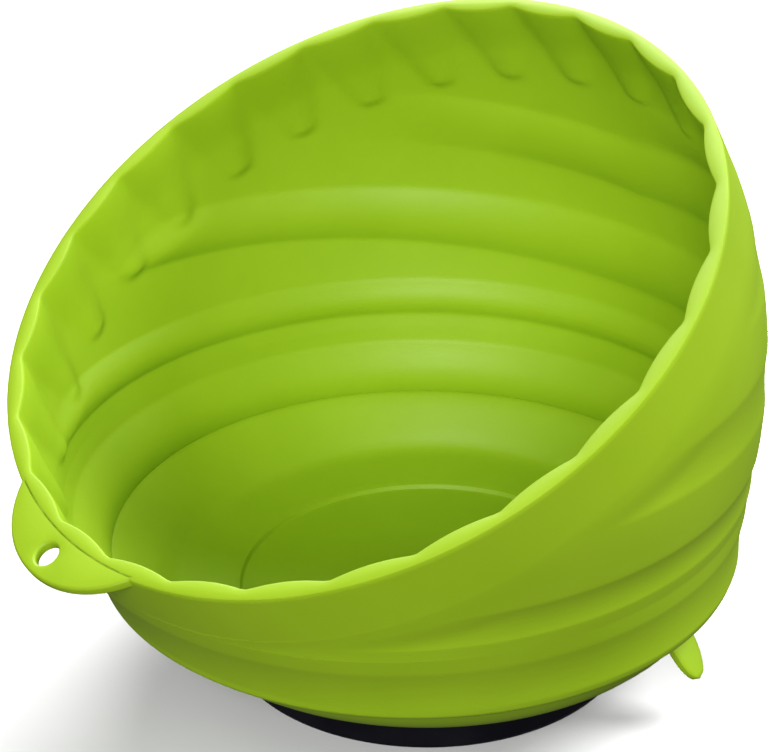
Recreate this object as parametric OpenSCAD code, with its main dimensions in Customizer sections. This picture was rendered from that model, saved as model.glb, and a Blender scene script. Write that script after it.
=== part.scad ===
// Magnetic parts tray: a folding silicone bowl on a round magnetic foot.
// The wall is a set of nested rings. They fold together at one side and fan open at the other.
// Millimetres, +Z up, origin at the middle of the foot's underside.

/* [Foot] */
// Diameter of the black foot
foot_d = 85.4; // [80:0.1:88]
// Height of the foot, up to the bowl's underside
foot_h = 9.5; // [8:0.1:12]
// Side wall of the foot
foot_wall = 2.4; // [1.6:0.1:3.2]
// Floor of the foot, above its pad
foot_floor = 1.6; // [1:0.1:2.2]
// Radius of the round edge at the foot's bottom
foot_edge_r = 1.2; // [0.6:0.1:1.6]
// Diameter of the rubber pad under the foot
pad_d = 74; // [60:1:76]
// Thickness of the pad
pad_t = 1.2; // [0.8:0.1:1.6]
// How far the pad stands out below the foot
pad_proud = 0.3; // [0.2:0.1:0.5]

/* [Magnet] */
// Room between the ferrite ring and the foot's wall
magnet_gap = 4.3; // [2:0.1:8]
// Hole through the ferrite ring
magnet_bore_d = 32; // [20:1:40]
// Room between the steel plate and the foot's wall
plate_gap = 2.3; // [1:0.1:5]
// Thickness of the steel plate
plate_t = 1.2; // [0.8:0.1:1.6]
// Thickness of the bonding disc under the bowl
bond_t = 0.6; // [0.4:0.1:1]

/* [Pan] */
// Diameter of the pan's flat underside
pan_foot_d = 92; // [88:1:100]
// Greatest diameter of the pan, at its lip
pan_lip_d = 129.8; // [124:0.2:130.4]
// Height of the pan's lip above the ground
pan_top_z = 28; // [26:0.5:30]
// Thickness of the pan's floor
pan_floor_t = 4.9; // [4:0.1:6]
// Thickness of the pan's side
pan_wall = 2.2; // [1.6:0.1:2.6]
// Height of the rounded lip
pan_lip_h = 3.2; // [2.4:0.1:4]
// Diameter of the recess in the pan's floor
recess_d = 78.4; // [70:0.2:80]
// Depth of the recess
recess_depth = 1; // [0.6:0.1:1.6]

/* [Pull tongue] */
// Direction of the tongue, from the right-hand side
tongue_azimuth = -30; // [-40:1:-20]
// Length of the tongue, from the pan's side to its tip
tongue_len = 11; // [9:0.5:12]
// Width of the tongue
tongue_w = 9; // [7:0.5:12]
// Thickness of the tongue
tongue_t = 2.4; // [1.8:0.1:3]
// Slope of the tongue below level
tongue_slope = 58; // [52:1:64]
// Height of the tongue's root
tongue_z = 19; // [18:0.5:20]

/* [Folding wall] */
// Direction in which the bowl leans, from the right-hand side
lean_azimuth = -138; // [-150:1:-126]
// Shift of the wall's axis towards the lean
lean_shift = 3; // [2:0.1:3.4]
// Thickness of each ring
band_wall = 1.1; // [0.95:0.05:1.2]
// Gap between one ring and the next, when folded
fold_gap = 0.4; // [0.35:0.05:0.5]
// How far a ring still covers the one below when open
fold_overlap = 2.5; // [2:0.1:2.8]
// Angle between the lower ring and the second, when open
second_angle = 5.5; // [5:0.25:7]
// Angle between the second ring and the third, when open
third_angle = 10; // [8:0.25:10.5]
// Angle between the third ring and the fourth, when open
fourth_angle = 8.5; // [7:0.25:9.5]
// Angle between the fourth ring and the rim, when open
rim_angle = 6; // [5:0.25:7]
// Height of the wall's fold line above the ground
fold_z = 42; // [40:0.5:46]
// How far the lower ring covers the pan
lower_overlap = 3.5; // [3:0.1:4.5]
// How far the lower ring's round bead stands in from its wall
lower_bead = 2; // [1:0.1:2.4]
// Distance of the fold line outside the pan's lip
hinge_out = 10.1; // [9.6:0.1:12]

/* [Rim] */
// How far the rim stands out from the ring it sits on
rim_out = 1.7; // [1.2:0.1:2.4]
// Height of the thick rim above its ring
rim_h = 13; // [10:0.5:16]
// Width of the rim's flat edge
rim_w = 3.4; // [3:0.1:3.8]
// Number of scoops along the inside of the rim
scoop_count = 28; // [20:1:30]
// Depth of a scoop at the rim's edge
scoop_depth = 1.7; // [1:0.1:2]
// Width of a scoop at the rim's edge
scoop_w = 12; // [10:0.5:13]

/* [Hang tab] */
// Place of the tab along the rim, from the direction of lean
tab_azimuth = -7.7; // [-15:0.1:5]
// How far the tab stands out from the rim
tab_reach = 8.5; // [8:0.1:12]
// Radius of the tab's round edge
tab_r = 23.6; // [20:0.1:28]
// Thickness of the tab
tab_t = 2.2; // [1.8:0.1:3]
// Diameter of the hang hole
hole_d = 5; // [4:0.1:5.5]
// Distance from the tab's edge to the hole's middle
hole_inset = 4.5; // [4:0.1:5]

/* [Hidden] */
$fn = 96;
// Overrun of every cut
cut = 1;
// Clearance round the pieces inside the foot
seat_gap = 0.2;
// Height of the roof of the pad's seat
pad_seat = pad_t;
// Radii
foot_r = foot_d / 2;
cavity_r = foot_r - foot_wall;
magnet_d = 2 * (cavity_r - magnet_gap);
plate_d = 2 * (cavity_r - plate_gap);
pan_lip_r = pan_lip_d / 2;
// Heights inside the foot
cavity_z = pad_seat + foot_floor;
bond_z = foot_h - bond_t;
plate_z = bond_z - plate_t;
magnet_h = plate_z - cavity_z;
// The pan's floor
pan_floor_z = foot_h + pan_floor_t;
// Rings, from the lowest out: each clears the one below, and the rim is the last
fold_count = 4;
fold_angles = [0, second_angle, third_angle, fourth_angle, rim_angle];
function tilt(level) = level < 1 ? 0 : tilt(level - 1) + fold_angles[level];
ring_step = band_wall + fold_gap;
lower_in_r = pan_lip_r + fold_gap;
hinge_reach = pan_lip_r + hinge_out;
// Room for the second ring's swept skirt round the straight lower ring
lower_far = hinge_reach + lower_in_r + ring_step;
sweep_room = lower_far * (1 - cos(second_angle + atan(fold_overlap / lower_far)));
function ring_in_r(level) = lower_in_r + level * ring_step + (level > 0 ? sweep_room : 0);
function ring_out_r(level) = ring_in_r(level) + band_wall;
rim_r = ring_out_r(fold_count) + rim_out;
lower_z = pan_top_z - lower_overlap;
// The lower ring's bead, between the pan's lip and the ring's rolled edge
bead_low_z = pan_top_z + fold_gap;
bead_high_z = fold_z - band_wall - sweep_room;
bead_half = (bead_high_z - bead_low_z) / 2;
bead_r = (pow(bead_half, 2) + pow(lower_bead, 2)) / (2 * lower_bead);
// Turn through which a ring's skirt is swept before its lower edge is trimmed
skirt_turn = 30;
// Hinge line, in the frame that leans along +X
hinge_x = lean_shift + hinge_reach;
// Block that trims a ring's lower edge
trim_size = 4 * rim_r;
// A scoop's cutter, a tilted round bar
scoop_r = (pow(scoop_w / 2, 2) + pow(scoop_depth, 2)) / (2 * scoop_depth);
scoop_tilt = atan(scoop_depth / rim_h);
rim_in_r = rim_r - rim_w;
// Tab
tab_x = rim_r + tab_reach - tab_r;
hole_x = rim_r + tab_reach - hole_inset;
tab_top_z = fold_z + rim_h;
// Outline shares of the pan's side: each pair is a share of the way out and a share of the way up
pan_side_shares = [[0, 0], [0.42, 0.2], [0.68, 0.42], [0.8, 0.66], [0.84, 0.83]];
silicone = "yellowgreen";

// Turns the children into the frame that leans along +X
module lean() {
    rotate([0, 0, lean_azimuth]) children();
}

// Turns the children about the hinge line by an angle, far side up
module about_hinge(angle) {
    translate([hinge_x, 0, fold_z]) rotate([0, angle, 0]) translate([-hinge_x, 0, -fold_z]) children();
}

// The skirt of a folding ring, swept about the hinge line so that it slides past its neighbours.
// Its lower edge lies just below the open neighbour's top edge.
module skirt(level) {
    difference() {
        translate([hinge_x, 0, fold_z]) rotate([90, 0, 180]) rotate([0, 0, -skirt_turn])
            rotate_extrude(angle = skirt_turn) translate([hinge_reach, 0]) difference() {
                circle(ring_out_r(level));
                circle(ring_in_r(level));
            }
        about_hinge(-fold_angles[level])
            translate([-trim_size / 2, -trim_size / 2, fold_z - fold_overlap - trim_size])
            cube(trim_size);
    }
}

// A folding ring at its open angle, with its top edge on the fold line's level
module folding_ring(level) {
    color(silicone) lean() about_hinge(tilt(level)) skirt(level);
}

module base_cup() {
    color("#17151c") rotate_extrude() difference() {
        union() {
            translate([0, pad_proud + foot_edge_r]) square([foot_r, foot_h - pad_proud - foot_edge_r]);
            translate([0, pad_proud]) square([foot_r - foot_edge_r, foot_h - pad_proud]);
            translate([foot_r - foot_edge_r, pad_proud + foot_edge_r]) circle(foot_edge_r);
        }
        translate([0, cavity_z]) square([cavity_r, foot_h]);
        translate([-cut, -cut]) square([pad_d / 2 + cut, pad_seat + cut]);
        translate([-foot_r, -cut]) square([foot_r, foot_h + 2 * cut]);
    }
}

module foot_pad() {
    color("#26262a") cylinder(d = pad_d - 2 * seat_gap, h = pad_t);
}

module ring_magnet() {
    color("#3c3c40") translate([0, 0, cavity_z]) difference() {
        cylinder(d = magnet_d, h = magnet_h);
        translate([0, 0, -cut]) cylinder(d = magnet_bore_d, h = magnet_h + 2 * cut);
    }
}

module pole_plate() {
    color("silver") translate([0, 0, plate_z]) cylinder(d = plate_d, h = plate_t);
}

module bond_disc() {
    color("white") translate([0, 0, bond_z]) cylinder(d = plate_d, h = bond_t);
}

// Outline of the pan's outside, from the underside to below the lip
function pan_side() = [for (s = pan_side_shares)
    [pan_foot_d / 2 + s[0] * (pan_lip_r - pan_foot_d / 2), foot_h + s[1] * (pan_top_z - foot_h)]];

module pan_shell() {
    lip_mid_z = pan_top_z - pan_lip_h / 2;
    rotate_extrude() {
        difference() {
            polygon(concat([[0, foot_h]], pan_side(), [[pan_lip_r - pan_lip_h / 2, pan_top_z], [0, pan_top_z]]));
            polygon(concat([[-cut, pan_floor_z]],
                [for (p = pan_side()) if (p[1] + pan_wall > pan_floor_z) [p[0] - pan_wall, max(p[1], pan_floor_z)]],
                [[pan_lip_r - pan_lip_h / 2 - pan_wall, pan_top_z + cut], [-cut, pan_top_z + cut]]));
        }
        translate([pan_lip_r - pan_lip_h / 2, lip_mid_z]) circle(d = pan_lip_h);
    }
}

// Distance from the foot's axis at which the tongue leaves the pan's side
function tongue_root() =
    lookup(tongue_z, [for (p = pan_side()) [p[1], p[0]]])
    + lean_shift * cos(tongue_azimuth - lean_azimuth)
    - pan_wall / 2;

module tongue() {
    root_r = tongue_root();
    rotate([0, 0, tongue_azimuth]) translate([root_r, 0, tongue_z]) rotate([0, tongue_slope, 0])
        translate([0, 0, -tongue_t]) {
            translate([0, -tongue_w / 2, 0]) cube([tongue_len - tongue_w / 2, tongue_w, tongue_t]);
            translate([tongue_len - tongue_w / 2, 0, 0]) cylinder(d = tongue_w, h = tongue_t);
        }
}

module bowl_pan() {
    color(silicone) difference() {
        union() {
            lean() translate([lean_shift, 0, 0]) pan_shell();
            tongue();
        }
        translate([0, 0, pan_floor_z - recess_depth]) cylinder(d = recess_d, h = recess_depth + cut);
    }
}

// The straight ring round the pan's lip, with a round bead inside.
// The second ring is seated on its rolled top edge.
module lower_band() {
    edge_r = (band_wall + sweep_room) / 2;
    color(silicone) lean() translate([lean_shift, 0, 0]) rotate_extrude() translate([lower_in_r, 0]) {
        translate([0, lower_z]) square([band_wall, fold_z - lower_z - edge_r]);
        translate([edge_r, fold_z - edge_r]) circle(edge_r);
        intersection() {
            translate([bead_r - lower_bead, bead_low_z + bead_half]) circle(bead_r);
            translate([-lower_bead, bead_low_z]) square([lower_bead + band_wall, 2 * bead_half]);
        }
    }
}

module second_band() {
    folding_ring(1);
}

module third_band() {
    folding_ring(2);
}

module fourth_band() {
    folding_ring(3);
}

// Thick edge above the top ring, flared to the rim's diameter and rooted in the ring's wall
module rim_edge() {
    root = band_wall / 4;
    translate([lean_shift, 0, fold_z]) rotate_extrude()
        polygon([[ring_in_r(fold_count) + root, -band_wall], [ring_out_r(fold_count) + root, -band_wall],
            [rim_r, rim_h - tab_t], [rim_r, rim_h], [rim_in_r, rim_h]]);
}

module scoops() {
    translate([lean_shift, 0, fold_z + rim_h]) for (i = [0 : scoop_count - 1])
        rotate([0, 0, i * 360 / scoop_count]) translate([rim_in_r + scoop_depth - scoop_r, 0, 0])
            rotate([0, scoop_tilt, 0]) translate([0, 0, -rim_h]) cylinder(r = scoop_r, h = rim_h + rim_w);
}

module hang_tab() {
    translate([lean_shift, 0, tab_top_z - tab_t]) rotate([0, 0, tab_azimuth]) difference() {
        translate([tab_x, 0, 0]) cylinder(r = tab_r, h = tab_t);
        translate([0, 0, -cut]) cylinder(r = rim_r - rim_w / 2, h = tab_t + 2 * cut);
        translate([hole_x, 0, -cut]) cylinder(d = hole_d, h = tab_t + 2 * cut);
    }
}

module rim_band() {
    color(silicone) lean() about_hinge(tilt(fold_count)) {
        skirt(fold_count);
        difference() {
            rim_edge();
            scoops();
        }
        hang_tab();
    }
}

base_cup();
foot_pad();
ring_magnet();
pole_plate();
bond_disc();
bowl_pan();
lower_band();
second_band();
third_band();
fourth_band();
rim_band();
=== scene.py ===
import math

import bmesh
import bpy
from mathutils import Matrix, Vector


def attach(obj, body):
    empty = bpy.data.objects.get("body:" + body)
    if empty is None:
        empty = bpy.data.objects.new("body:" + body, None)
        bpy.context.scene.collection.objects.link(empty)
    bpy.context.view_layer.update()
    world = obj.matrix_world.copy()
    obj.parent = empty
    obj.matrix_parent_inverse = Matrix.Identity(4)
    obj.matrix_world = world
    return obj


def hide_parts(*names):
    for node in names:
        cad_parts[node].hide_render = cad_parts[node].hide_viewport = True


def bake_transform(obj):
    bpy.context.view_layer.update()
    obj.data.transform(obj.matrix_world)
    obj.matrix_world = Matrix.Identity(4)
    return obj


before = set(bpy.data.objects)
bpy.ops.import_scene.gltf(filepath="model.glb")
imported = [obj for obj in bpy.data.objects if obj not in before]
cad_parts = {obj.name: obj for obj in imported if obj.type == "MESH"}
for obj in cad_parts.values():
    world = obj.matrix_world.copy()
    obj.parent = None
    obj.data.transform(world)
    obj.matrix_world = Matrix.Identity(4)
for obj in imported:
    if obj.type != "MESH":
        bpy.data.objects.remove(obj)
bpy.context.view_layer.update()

# FOOT CUP: a shallow round cup, injection moulded in black plastic with a fine spark-eroded grain.
# It holds the magnet and is glued to the underside of the bowl; only its side shows.


def moulded(name, dark, light, patch, rough, grain, relief):
    """A moulded surface: cloudy colour, fine grain in the gloss, and a low relief."""
    mat = bpy.data.materials.new(name)
    mat.use_nodes = True
    nodes, links = mat.node_tree.nodes, mat.node_tree.links
    shader = nodes["Principled BSDF"]
    place = nodes.new("ShaderNodeTexCoord")
    cloud = nodes.new("ShaderNodeTexNoise")
    cloud.inputs["Scale"].default_value = patch
    cloud.inputs["Detail"].default_value = 5
    tone = nodes.new("ShaderNodeValToRGB")
    tone.color_ramp.elements[0].position = 0.3
    tone.color_ramp.elements[0].color = (*dark, 1)
    tone.color_ramp.elements[1].position = 0.7
    tone.color_ramp.elements[1].color = (*light, 1)
    speck = nodes.new("ShaderNodeTexNoise")
    speck.inputs["Scale"].default_value = grain
    speck.inputs["Detail"].default_value = 3
    gloss = nodes.new("ShaderNodeMapRange")
    gloss.inputs["To Min"].default_value = rough[0]
    gloss.inputs["To Max"].default_value = rough[1]
    bump = nodes.new("ShaderNodeBump")
    bump.inputs["Strength"].default_value = 0.35
    bump.inputs["Distance"].default_value = relief
    links.new(place.outputs["Object"], cloud.inputs["Vector"])
    links.new(place.outputs["Object"], speck.inputs["Vector"])
    links.new(cloud.outputs["Fac"], tone.inputs["Fac"])
    links.new(tone.outputs["Color"], shader.inputs["Base Color"])
    links.new(speck.outputs["Fac"], gloss.inputs["Value"])
    links.new(gloss.outputs["Result"], shader.inputs["Roughness"])
    links.new(speck.outputs["Fac"], bump.inputs["Height"])
    links.new(bump.outputs["Normal"], shader.inputs["Normal"])
    return mat


def setting(mat, socket, value):
    """Sets a constant on a material's shader."""
    mat.node_tree.nodes["Principled BSDF"].inputs[socket].default_value = value


def coat(node, mat):
    """Gives a CAD node a material."""
    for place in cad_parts[node].material_slots:
        place.material = mat


foot = moulded("foot_plastic", (0.003, 0.003, 0.005), (0.006, 0.006, 0.009),
               patch=90, rough=(0.34, 0.46), grain=2600, relief=0.00004)
setting(foot, "Specular IOR Level", 0.15)
coat("base_cup", foot)

# FOOT PAD: a thin disc of black rubber with a matt face, die cut from sheet.
# It is stuck into the seat under the foot and keeps the magnet off painted metal.
coat("foot_pad", moulded("pad_rubber", (0.012, 0.012, 0.013), (0.022, 0.022, 0.023),
                         patch=140, rough=(0.75, 0.95), grain=1500, relief=0.0001))

# RING MAGNET: a ring of sintered ferrite, dark grey and slightly gritty.
# It lies in the foot cup under the steel plate, out of sight.
coat("ring_magnet", moulded("ferrite", (0.03, 0.03, 0.032), (0.06, 0.06, 0.063),
                            patch=300, rough=(0.5, 0.75), grain=1800, relief=0.0001))

# POLE PLATE: a stamped disc of plated steel that lies on the magnet and spreads its field.
# The magnet's own pull holds it in place, out of sight.
plate = moulded("plate_steel", (0.42, 0.42, 0.43), (0.56, 0.56, 0.57),
                patch=60, rough=(0.28, 0.42), grain=900, relief=0.00003)
setting(plate, "Metallic", 1)
coat("pole_plate", plate)

# BOND DISC: a disc of white adhesive foam, sticky on both faces.
# It joins the steel plate to the underside of the bowl, out of sight.
coat("bond_disc", moulded("bond_foam", (0.6, 0.59, 0.56), (0.72, 0.71, 0.68),
                          patch=200, rough=(0.8, 0.95), grain=700, relief=0.0002))

# BOWL PAN: the stiff bottom of the bowl, compression moulded in lime silicone with a satin skin.
# Its floor has a shallow round recess, and a leaf-shaped pull tongue hangs from its right side.
# Lengths of the bowl are in mm, and the mesh is in metres.
MM = 0.001
LEAN = math.radians(-138)
SHIFT, SHIFT_LOW, SHIFT_RISE = 3.0, 14, 12
HINGE_X = 78.0
FOLD_Z = 42.0
CREASE, JOIN_GAP = math.radians(38), 1e-7
SILICONE = moulded("lime_silicone", (0.256, 0.414, 0.007), (0.281, 0.444, 0.011),
                   patch=35, rough=(0.48, 0.58), grain=1900, relief=0.00005)
setting(SILICONE, "IOR", 1.41)
setting(SILICONE, "Specular IOR Level", 0.45)


def leant(x, y, z, tilt=0.0):
    """A point of the frame that leans along +X, turned up about the fold line, as a place in metres."""
    a, h = x - HINGE_X, z - FOLD_Z
    forth = HINGE_X + a * math.cos(tilt) + h * math.sin(tilt)
    up = FOLD_Z - a * math.sin(tilt) + h * math.cos(tilt)
    return Vector((forth * math.cos(LEAN) - y * math.sin(LEAN),
                   forth * math.sin(LEAN) + y * math.cos(LEAN), up)) * MM


def smoothstep(x):
    """0 below 0, 1 above 1, and a smooth rise between."""
    x = min(1.0, max(0.0, x))
    return x * x * (3 - 2 * x)


def spun(profile, steps, closed=True):
    """A mesh turned from a profile of (radius, height) pairs."""
    bm = bmesh.new()
    row = [bm.verts.new((r, 0, z)) for r, z in profile]
    pairs = zip(row, row[1:] + row[:1])
    edges = [bm.edges.new(pair) for pair in pairs if closed or pair[1] is not row[0]]
    bmesh.ops.spin(bm, geom=row + edges, axis=(0, 0, 1), cent=(0, 0, 0), steps=steps,
                   angle=2 * math.pi, use_merge=True)
    return bm


def piece(bm, name, mat, body, node):
    """Makes an object of a mesh, smooth but for its sharp edges, on its body and in its node's place."""
    bmesh.ops.remove_doubles(bm, verts=bm.verts, dist=JOIN_GAP)
    bmesh.ops.recalc_face_normals(bm, faces=bm.faces)
    for face in bm.faces:
        face.smooth = True
    for edge in bm.edges:
        edge.smooth = len(edge.link_faces) == 2 and edge.calc_face_angle(0) < CREASE
    mesh = bpy.data.meshes.new(name)
    bm.to_mesh(mesh)
    bm.free()
    obj = bpy.data.objects.new(name, mesh)
    bpy.context.scene.collection.objects.link(obj)
    mesh.materials.append(mat)
    if body:
        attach(obj, body)
    if node:
        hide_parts(node)
    return obj


def add_part(bm, part, name):
    """Adds a second mesh to a mesh and frees it."""
    mesh = bpy.data.meshes.new(name)
    part.to_mesh(mesh)
    part.free()
    bm.from_mesh(mesh)
    bpy.data.meshes.remove(mesh)


def run(points, gap):
    """Points set evenly along a line of (radius, height) pairs."""
    out = []
    for (r0, z0), (r1, z1) in zip(points, points[1:]):
        n = max(1, round(math.hypot(r1 - r0, z1 - z0) / gap))
        out += [(r0 + (r1 - r0) * i / n, z0 + (z1 - z0) * i / n) for i in range(n)]
    return out + [points[-1]]


PAN_STEPS, PAN_GAP = 192, 1.6
inside = [(0.001, 13.4), (38.6, 13.4), (39.1, 13.5), (39.4, 13.9), (39.6, 14.3), (40.0, 14.45), (50.5, 16.0),
          (52.2, 16.5), (53.4, 17.2), (55.6, 19.7), (58.6, 22.6), (60.6, 24.6), (61.7, 25.7), (62.6, 26.4)]
lip = [(63.2, 26.8), (63.7, 26.8), (63.95, 26.4), (64.0, 25.8), (63.8, 25.3), (63.2, 24.7), (62.4, 23.9)]
outside = [(61.4, 22.6), (60.4, 20.2), (58.8, 17.6), (56.6, 15.4), (53.6, 13.4), (50.0, 11.5), (46.6, 9.8),
           (45.6, 9.5), (0.001, 9.5)]
pan = spun(run(inside + lip + outside, PAN_GAP), PAN_STEPS, closed=False)
for v in pan.verts:
    z = v.co.z
    v.co = leant(v.co.x + SHIFT * smoothstep((z - SHIFT_LOW) / SHIFT_RISE), v.co.y, z)

TONGUE_WAY, TONGUE_SLOPE = math.radians(-30), math.radians(58)
TONGUE_SIDE = math.radians(60)
TONGUE_R, TONGUE_Z = 57.2, 19
TONGUE_LONG, TONGUE_HALF, TONGUE_THICK = 11.5, 4.5, 1.2
TONGUE_STRAIGHT, TONGUE_THIN, TONGUE_TIP, TONGUE_END = 0.25, 0.45, 0.15, 0.2
TONGUE_ROWS, TONGUE_POINTS, TONGUE_ROUND = 16, 20, 0.55
out_dir = Vector((math.cos(TONGUE_WAY), math.sin(TONGUE_WAY), 0))
across = Vector((math.cos(TONGUE_SIDE), math.sin(TONGUE_SIDE), 0))
down_dir = out_dir * math.cos(TONGUE_SLOPE) - Vector((0, 0, 1)) * math.sin(TONGUE_SLOPE)
face_dir = out_dir * math.sin(TONGUE_SLOPE) + Vector((0, 0, 1)) * math.cos(TONGUE_SLOPE)
root = out_dir * TONGUE_R + Vector((0, 0, TONGUE_Z))
leaf = bmesh.new()
rows = []
for i in range(TONGUE_ROWS + 1):
    s = i / TONGUE_ROWS
    narrow = max(0.0, (s - TONGUE_STRAIGHT) / (1 - TONGUE_STRAIGHT))
    half = TONGUE_HALF * math.sqrt(max(0.0, 1 - narrow ** 2))
    thick = TONGUE_THICK * (1 - TONGUE_THIN * s ** 3) * (1 if s < 1 else TONGUE_END)
    ring = []
    for j in range(TONGUE_POINTS):
        t = 2 * math.pi * j / TONGUE_POINTS
        c, n = math.cos(t), math.sin(t)
        w = max(half, TONGUE_TIP) * math.copysign(abs(c) ** TONGUE_ROUND, c)
        d = thick * math.copysign(abs(n) ** TONGUE_ROUND, n)
        place = root + down_dir * TONGUE_LONG * s + across * w + face_dir * (d - TONGUE_THICK)
        ring.append(leaf.verts.new(place * MM))
    rows.append(ring)
for a, b in zip(rows, rows[1:]):
    for j in range(TONGUE_POINTS):
        leaf.faces.new((a[j], a[j - 1], b[j - 1], b[j]))
leaf.faces.new(rows[0])
leaf.faces.new(rows[-1])
bmesh.ops.recalc_face_normals(leaf, faces=leaf.faces)
add_part(pan, leaf, "pull_tongue")
piece(pan, "bowl_pan_skin", SILICONE, "foot", "bowl_pan")

# LOWER RING: the upright ring of the bowl's wall, lime silicone with one full round bead inside.
# It is moulded in one with the pan and stands round the pan's lip, on the foot. It flares at the front left.
STEPS = 392
IN_ROW, OUT_ROW = 50, 60
SEAMS = (-0.72, 2.75, 10.5, 19.75, 29.5)
FOOT_Z, FOOT_OUT, FOLD_OUT = 27.0, 66.4, 67.6
RIM_OUT, RIM_H, RIM_TILT = 75.0, 13.0, 30
FLARE_TURN, FLARE_POWER = math.radians(120), 1.45
THICK = ((0, 2.2), (0.5, 1.5), (1, 1.4))
PETALS, PETAL_TURN, PETAL_LONG = 28, math.radians(8), 23.0
PETAL_THICK, PETAL_GROWTH, PETAL_TAPER, PETAL_TIP = 0.9, 0.5, 0.42, 0.13
BEAD_SOFT, BEAD_REACH, PETAL_SOFT, PETAL_LEAST = 0.008, 0.3, 0.05, 0.002
# Each bead of the leaning wall: its low edge, its high edge and how far it stands in
SECOND_BEAD, THIRD_BEAD = (45.2, 53.2, 1.5), (59.6, 74.3, 1.7)
FOURTH_BEAD, TOP_BEAD = (83.2, 96.2, 1.3), (97.6, 107.5, 1.1)
# How the third bead's edges rise toward the sides, as (mm, degrees), and where the upper two fade, in degrees
LOW_RISE, HIGH_RISE, CLIMB = (7, 105), (2.4, 85), 0.09
FOURTH_FADE, TOP_FADE = (14, 40), (-30, 35)
BEAD_STOP, BEAD_FADE, BEAD_LOST = 3, 9, 0.72


def along(table, x):
    """Value at x on straight lines between a table's (x, value) pairs."""
    for (x0, y0), (x1, y1) in zip(table, table[1:]):
        if x <= x1:
            break
    t = min(1.0, max(0.0, (x - x0) / (x1 - x0)))
    return y0 + (y1 - y0) * t


def above_zero(x, soft):
    """x where it is above 0, else 0, with a soft corner."""
    return 0.5 * (x + math.sqrt(x * x + soft))


def hump(z, low, high):
    """Profile of a half-round bead between two heights, with slightly soft corners."""
    x = (z - low) / (high - low)
    return above_zero(4 * x * (1 - x), BEAD_SOFT) if -BEAD_REACH < x < 1 + BEAD_REACH else 0.0


def petal(phi, down):
    """How far the petal-shaped pads stand in from the wall, at a distance below the rim's top."""
    share = 1 - down / PETAL_LONG
    if share < 0:
        return 0.0
    pitch = 2 * math.pi / PETALS
    off = ((phi - PETAL_TURN + pitch / 2) % pitch - pitch / 2) * 2 / pitch
    thick = (PETAL_THICK + PETAL_GROWTH * share) * (1 - (off / max(share, PETAL_LEAST) ** PETAL_TAPER) ** 2)
    return above_zero(thick, PETAL_SOFT) * smoothstep(share / PETAL_TIP)


def relief(phi, z):
    """How far the beads stand in from the wall. They run level round the bowl and end at the slanted rim."""
    left = (math.degrees(phi) % 360) - 180
    turn = abs(left)
    climb = CLIMB * turn
    third_low = THIRD_BEAD[0] + LOW_RISE[0] * smoothstep(turn / LOW_RISE[1])
    third_high = THIRD_BEAD[1] + HIGH_RISE[0] * smoothstep(turn / HIGH_RISE[1])
    total = SECOND_BEAD[2] * hump(z, *SECOND_BEAD[:2]) + THIRD_BEAD[2] * hump(z, third_low, third_high)
    for (low, high, depth), (begin, span) in ((FOURTH_BEAD, FOURTH_FADE), (TOP_BEAD, TOP_FADE)):
        total += depth * (1 - smoothstep((left - begin) / span)) * hump(z, low + climb, high + climb)
    return total


def wall_r(phi, z, side):
    """Radius of the wall's inner (side 0) or outer (side 1) face at a height, without beads."""
    near = 1 - smoothstep(abs((phi + math.pi) % (2 * math.pi) - math.pi) / FLARE_TURN)
    fold_out = FOLD_OUT + (RIM_OUT - FOLD_OUT) * near
    rise = RIM_OUT * math.sin(math.radians(RIM_TILT)) * (1 - math.cos(phi)) + 0.01
    low = min(1.0, max(0.0, (z - FOOT_Z) / (FOLD_Z - FOOT_Z)))
    high = min(1.0, max(0.0, (z - FOLD_Z) / rise))
    out = FOOT_OUT + (fold_out - FOOT_OUT) * low + (RIM_OUT - fold_out) * (1 - (1 - high) ** FLARE_POWER)
    return out - (1 - side) * along(THICK, low)


def wall_point(phi, tilt, side):
    """A point of the wall's inner or outer face at an angle about the fold line, in degrees."""
    z = FOLD_Z
    for _ in range(6):
        x = SHIFT + wall_r(phi, z, 0) * math.cos(phi)
        z = FOLD_Z - (x - HINGE_X) * math.sin(math.radians(tilt))
    down = RIM_H + (HINGE_X - x) * math.radians(RIM_TILT - tilt)
    bead = relief(phi, z) * smoothstep((down - RIM_H - BEAD_STOP) / BEAD_FADE)
    r = wall_r(phi, z, side) - bead * (1 - BEAD_LOST * side) - (1 - side) * petal(phi, down)
    return leant(SHIFT + r * math.cos(phi), r * math.sin(phi), FOLD_Z, math.radians(tilt))


def sheet(heights):
    """A mesh with an inner and an outer face and rows at the given heights, to be shaped."""
    return spun([(IN_ROW, t) for t in heights] + [(OUT_ROW, t) for t in reversed(heights)], STEPS)


def side_and_turn(v):
    """The face of a sheet that a vertex is on, 0 inner or 1 outer, and its angle round the bowl."""
    side = 1 if math.hypot(v.co.x, v.co.y) > (IN_ROW + OUT_ROW) / 2 else 0
    return side, math.atan2(v.co.y, v.co.x)


LOWER_ROWS = 40
LOW_BEAD, LOW_GROOVE = (25.5, 38.5, 2.3), (27, 38, 0.4)
LIP_R, LIP_Z, LIP_SLOPE = 63.6, 26.8, 1.2
HEM_Z = 24.5
HEM = ((24.5, 64.9), (25.4, 65.9), (27, 66.4))
lower = sheet([i / LOWER_ROWS for i in range(LOWER_ROWS + 1)])
for v in lower.verts:
    (side, phi), share = side_and_turn(v), v.co.z
    top = wall_point(phi, SEAMS[0], side)
    z = HEM_Z + (top.z / MM - HEM_Z) * share
    if side and z < FOOT_Z:
        r = along(HEM, z)
    elif side:
        r = wall_r(phi, z, 1) - LOW_GROOVE[2] * hump(z, *LOW_GROOVE[:2])
    else:
        r = wall_r(phi, max(z, FOOT_Z), 0) - LOW_BEAD[2] * hump(z, *LOW_BEAD[:2])
        r = min(r, LIP_R + max(0.0, z - LIP_Z) * LIP_SLOPE)
    v.co = top if share == 1 else leant(SHIFT + r * math.cos(phi), r * math.sin(phi), z)
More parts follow.
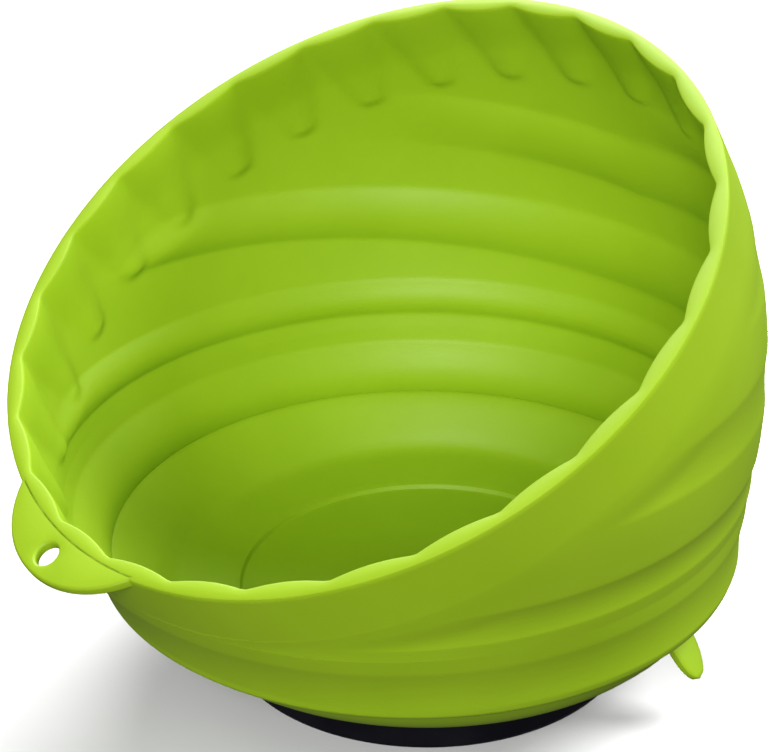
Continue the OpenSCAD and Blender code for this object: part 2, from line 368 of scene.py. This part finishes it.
piece(lower, "lower_band_skin", SILICONE, "foot", "lower_band")


def wall(level, count):
    """One stretch of the wall, which bends between two rings."""
    low, high = SEAMS[level - 1], SEAMS[level]
    bm = sheet([low + (high - low) * i / count for i in range(count + 1)])
    for v in bm.verts:
        side, phi = side_and_turn(v)
        v.co = wall_point(phi, v.co.z, side)
    return bm


def soft(bm, name, level, node):
    """Makes an object of a stretch of wall, on no body, with its place baked into the mesh."""
    obj = piece(bm, name, SILICONE, None, node)
    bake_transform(obj)


soft(wall(1, count=14), "second_band_skin", 1, "second_band")
soft(wall(2, count=30), "third_band_skin", 2, "third_band")
soft(wall(3, count=34), "fourth_band_skin", 3, "fourth_band")

# RIM: the thick edge of the bowl, in the same silicone and moulded with the wall, with 28 petal-shaped pads
# along its inside. Its flat top runs out at the front left into a tab with a hang hole.
RIM_R, RIM_SWELL, RIM_ROUND = 73.6, 0.9, 0.4
soft(wall(4, count=36), "rim_wall_skin", 4, None)


def rim_in(phi, h):
    """Inner radius of the thick edge, h above its ring, with the petals."""
    return RIM_R - RIM_SWELL * smoothstep(h / RIM_H) - petal(phi, RIM_H - h)


# Rows of the wall carry their tilt less WALL_MARK, and rows of the edge their height plus EDGE_MARK.
WALL_MARK, EDGE_MARK = 40, 10
EDGE_TOP = EDGE_MARK + RIM_H
ROW_GAP = OUT_ROW - IN_ROW
rim_high = math.radians(RIM_TILT)
wall_rows = [SEAMS[4] - WALL_MARK, (SEAMS[4] + RIM_TILT) / 2 - WALL_MARK]
inner = [(IN_ROW, t) for t in wall_rows] + [(IN_ROW, EDGE_MARK + RIM_H * i / 26) for i in range(25)]
inner += [(IN_ROW, EDGE_TOP - RIM_ROUND), (IN_ROW + 0.12, EDGE_TOP - 0.15), (IN_ROW + 0.45, EDGE_TOP)]
outer = [(OUT_ROW - 0.5, EDGE_TOP), (OUT_ROW - 0.15, EDGE_TOP - 0.12), (OUT_ROW, EDGE_TOP - 0.5)]
outer += [(OUT_ROW, EDGE_MARK + RIM_H * i / 10) for i in range(9, -1, -1)]
outer += [(OUT_ROW, t) for t in reversed(wall_rows)]
rim = spun(inner + outer, STEPS)
for v in rim.verts:
    side, phi = side_and_turn(v)
    if v.co.z < 0:
        v.co = wall_point(phi, v.co.z + WALL_MARK, side)
        continue
    h, off = v.co.z - EDGE_MARK, math.hypot(v.co.x, v.co.y) - IN_ROW
    r = RIM_OUT + off - ROW_GAP if side else rim_in(phi, min(h, RIM_H - RIM_ROUND)) + off
    v.co = leant(SHIFT + r * math.cos(phi), r * math.sin(phi), FOLD_Z + h, rim_high)

TAB_TURN = math.radians(-7.7)
TAB_R, TAB_X, TAB_THICK, TAB_EDGE = 23.6, 59.9, 2.2, 0.55
HOLE_X, HOLE_R = 79.0, 2.5
JOIN_R = 73.6


def ring_line(x, r, angles):
    """Points of a circle about a place on the X axis."""
    return [(x + r * math.cos(t), r * math.sin(t)) for t in angles]


arc = math.pi - math.acos((TAB_X ** 2 + TAB_R ** 2 - JOIN_R ** 2) / (2 * TAB_X * TAB_R))
turn_in = math.atan2(TAB_R * math.sin(arc), TAB_X + TAB_R * math.cos(arc))
edge = ring_line(TAB_X, TAB_R, [arc * (2 * i / 56 - 1) for i in range(57)])
edge += ring_line(0, JOIN_R, [turn_in * (1 - 2 * i / 24) for i in range(1, 24)])
hole = ring_line(HOLE_X, HOLE_R, [2 * math.pi * i / 40 for i in range(40)])
tab = bmesh.new()
sides = []
for loop in (edge, hole):
    verts = [tab.verts.new((x, y, FOLD_Z + RIM_H)) for x, y in loop]
    sides += [tab.edges.new(pair) for pair in zip(verts, verts[1:] + verts[:1])]
bmesh.ops.triangle_fill(tab, use_beauty=True, edges=sides)
made = bmesh.ops.extrude_face_region(tab, geom=list(tab.faces))
moved = [v for v in made["geom"] if isinstance(v, bmesh.types.BMVert)]
bmesh.ops.translate(tab, verts=moved, vec=(0, 0, -TAB_THICK))
bmesh.ops.recalc_face_normals(tab, faces=tab.faces)
sharp = [e for e in tab.edges if len(e.link_faces) == 2 and e.calc_face_angle(0) > 1]
bmesh.ops.bevel(tab, geom=sharp, offset=TAB_EDGE, segments=4, profile=0.5, affect="EDGES", material=-1)
for v in tab.verts:
    x = v.co.x * math.cos(TAB_TURN) - v.co.y * math.sin(TAB_TURN)
    y = v.co.x * math.sin(TAB_TURN) + v.co.y * math.cos(TAB_TURN)
    v.co = leant(SHIFT + x, y, v.co.z, rim_high)
add_part(rim, tab, "hang_tab")
piece(rim, "rim_band_skin", SILICONE, "rim_band", "rim_band")

# STAGE: a plain pale floor, a white room and soft lamps.
# The floor throws no light back on the bowl, as in a cut-out photograph.
bpy.ops.mesh.primitive_plane_add(size=6, location=(0, 0, 0))
floor = bpy.context.object
floor.name = "studio_floor"
floor.data.materials.append(moulded("studio_paper", (0.79, 0.79, 0.79), (0.81, 0.81, 0.81),
                                    patch=3, rough=(0.9, 1.0), grain=400, relief=0.00005))
floor.visible_diffuse = False
floor.visible_glossy = False

world = bpy.data.worlds.new("studio")
bpy.context.scene.world = world
world.use_nodes = True
world.node_tree.nodes["Background"].inputs["Color"].default_value = (1, 1, 1, 1)
world.node_tree.nodes["Background"].inputs["Strength"].default_value = 0.08
LAMP_ACROSS = 0.6


def lamp(name, place, aim, watts):
    """A round soft lamp that faces a point."""
    data = bpy.data.lights.new(name, "AREA")
    data.shape = "DISK"
    data.size = LAMP_ACROSS
    data.energy = watts
    obj = bpy.data.objects.new(name, data)
    obj.location = place
    obj.rotation_euler = (Vector(aim) - Vector(place)).to_track_quat("-Z", "Y").to_euler()
    bpy.context.scene.collection.objects.link(obj)


lamp("key_lamp", (-0.14, -0.76, 0.97), (0, 0, 0.06), 2.5)
lamp("front_lamp", (-0.21, -1.07, 0.56), (0, 0, 0.06), 15)
lamp("side_lamp", (0.90, 0.15, 0.80), (0, 0, 0.05), 18)
lamp("backdrop_lamp", (0, 0.6, 0.6), (0, 0.32, 0), 12)

# CAMERA: as the photograph was taken, from the front and a little above.
# Its place is in mm, and it leans slightly to one side.
pitch, roll = math.radians(26.93), math.radians(-0.865)
ahead = Vector((0, math.cos(pitch), -math.sin(pitch)))
level = Vector((1, 0, 0))
upright = level.cross(ahead)
right = level * math.cos(roll) + upright * math.sin(roll)
up = upright * math.cos(roll) - level * math.sin(roll)
lens = bpy.data.cameras.new("photo_camera")
lens.lens = 117.19
lens.sensor_width = 36
lens.clip_start = 0.01
camera = bpy.data.objects.new("photo_camera", lens)
camera.matrix_world = Matrix((right, up, -ahead)).transposed().to_4x4()
camera.location = Vector((-8.6, -451.1, 291.1)) * MM
bpy.context.scene.collection.objects.link(camera)
bpy.context.scene.camera = camera
bpy.context.scene.view_settings.view_transform = "Standard"
